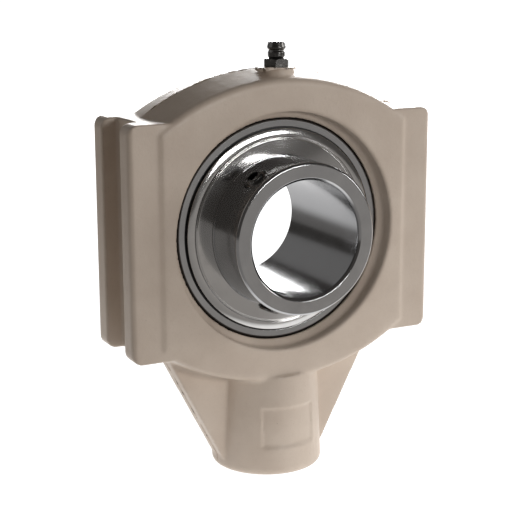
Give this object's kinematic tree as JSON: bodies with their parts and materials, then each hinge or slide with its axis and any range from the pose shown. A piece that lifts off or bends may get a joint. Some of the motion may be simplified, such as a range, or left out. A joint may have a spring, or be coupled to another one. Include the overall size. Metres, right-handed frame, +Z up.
{
  "type": "take up bearing unit",
  "caption": "Cast take-up bearing housing with guide grooves on both sides, a spindle boss, a grease nipple and a self-aligning insert ball bearing locked by set screws.",
  "frame": {"origin": "centre of the bearing on the bore axis, at the middle of the spherical seat", "axes": "+Y along the bore towards the rear, -Y towards the set screw side, +Z up to the grease nipple, spindle boss along -Z"},
  "size_m": [0.114, 0.0499, 0.1501],
  "materials": {
    "cast_housing": "grey iron casting under satin beige paint, with a sandy grain",
    "ring_steel": "ground bearing steel",
    "ball_steel": "polished bearing steel",
    "pressed_steel": "plain pressed steel sheet",
    "seal_rubber": "black nitrile rubber",
    "flinger_steel": "bright pressed steel",
    "black_steel": "black oxide steel"
  },
  "bodies": {
    "housing": {"housing": "cast_housing", "nipple_body": "black_steel", "nipple_spring": "ball_steel"},
    "outer": {"outer_ring": "ring_steel", "front_seal_plate": "pressed_steel", "rear_seal_plate": "pressed_steel", "front_seal_lip": "seal_rubber", "rear_seal_lip": "seal_rubber"},
    "inner": {"inner_ring": "ring_steel", "front_flinger": "flinger_steel", "rear_flinger": "flinger_steel"},
    "cage": {"cage_front": "pressed_steel", "cage_rear": "pressed_steel", "cage_rivets": "pressed_steel", "ball_1": "ball_steel", "ball_2": "ball_steel", "ball_3": "ball_steel", "ball_4": "ball_steel", "ball_5": "ball_steel", "ball_6": "ball_steel", "ball_7": "ball_steel", "ball_8": "ball_steel", "ball_9": "ball_steel"},
    "screw_1": {"set_screw_1": "black_steel"},
    "screw_2": {"set_screw_2": "black_steel"},
    "check_ball": {"nipple_ball": "ball_steel"}
  },
  "joints": [
    {"name": "outer_ring_align", "type": "hinge", "parent": "housing", "child": "outer", "pos_m": [0, 0, 0], "axis": [1, 0, 0], "range_deg": [-2, 2]},
    {"name": "inner_ring_spin", "type": "hinge", "parent": "outer", "child": "inner", "pos_m": [0, 0, 0], "axis": [0, 1, 0], "continuous": true},
    {"name": "cage_spin", "type": "hinge", "parent": "outer", "child": "cage", "pos_m": [0, 0, 0], "axis": [0, 1, 0], "continuous": true},
    {"name": "set_screw_1_travel", "type": "slide", "parent": "inner", "child": "screw_1", "axis": [-0.6018, 0, 0.7986], "range_m": [-0.0004, 0.003]},
    {"name": "set_screw_2_travel", "type": "slide", "parent": "inner", "child": "screw_2", "axis": [-0.3907, 0, -0.9205], "range_m": [-0.0004, 0.003]},
    {"name": "nipple_ball_press", "type": "slide", "parent": "housing", "child": "check_ball", "axis": [0, 0, -1], "range_m": [0, 0.0008], "stiffness_N_per_m": 400, "deforming": ["nipple_spring"]}
  ],
  "couplings": [
    {"joint": "cage_spin", "follows": "inner_ring_spin", "ratio": 0.394}
  ]
}
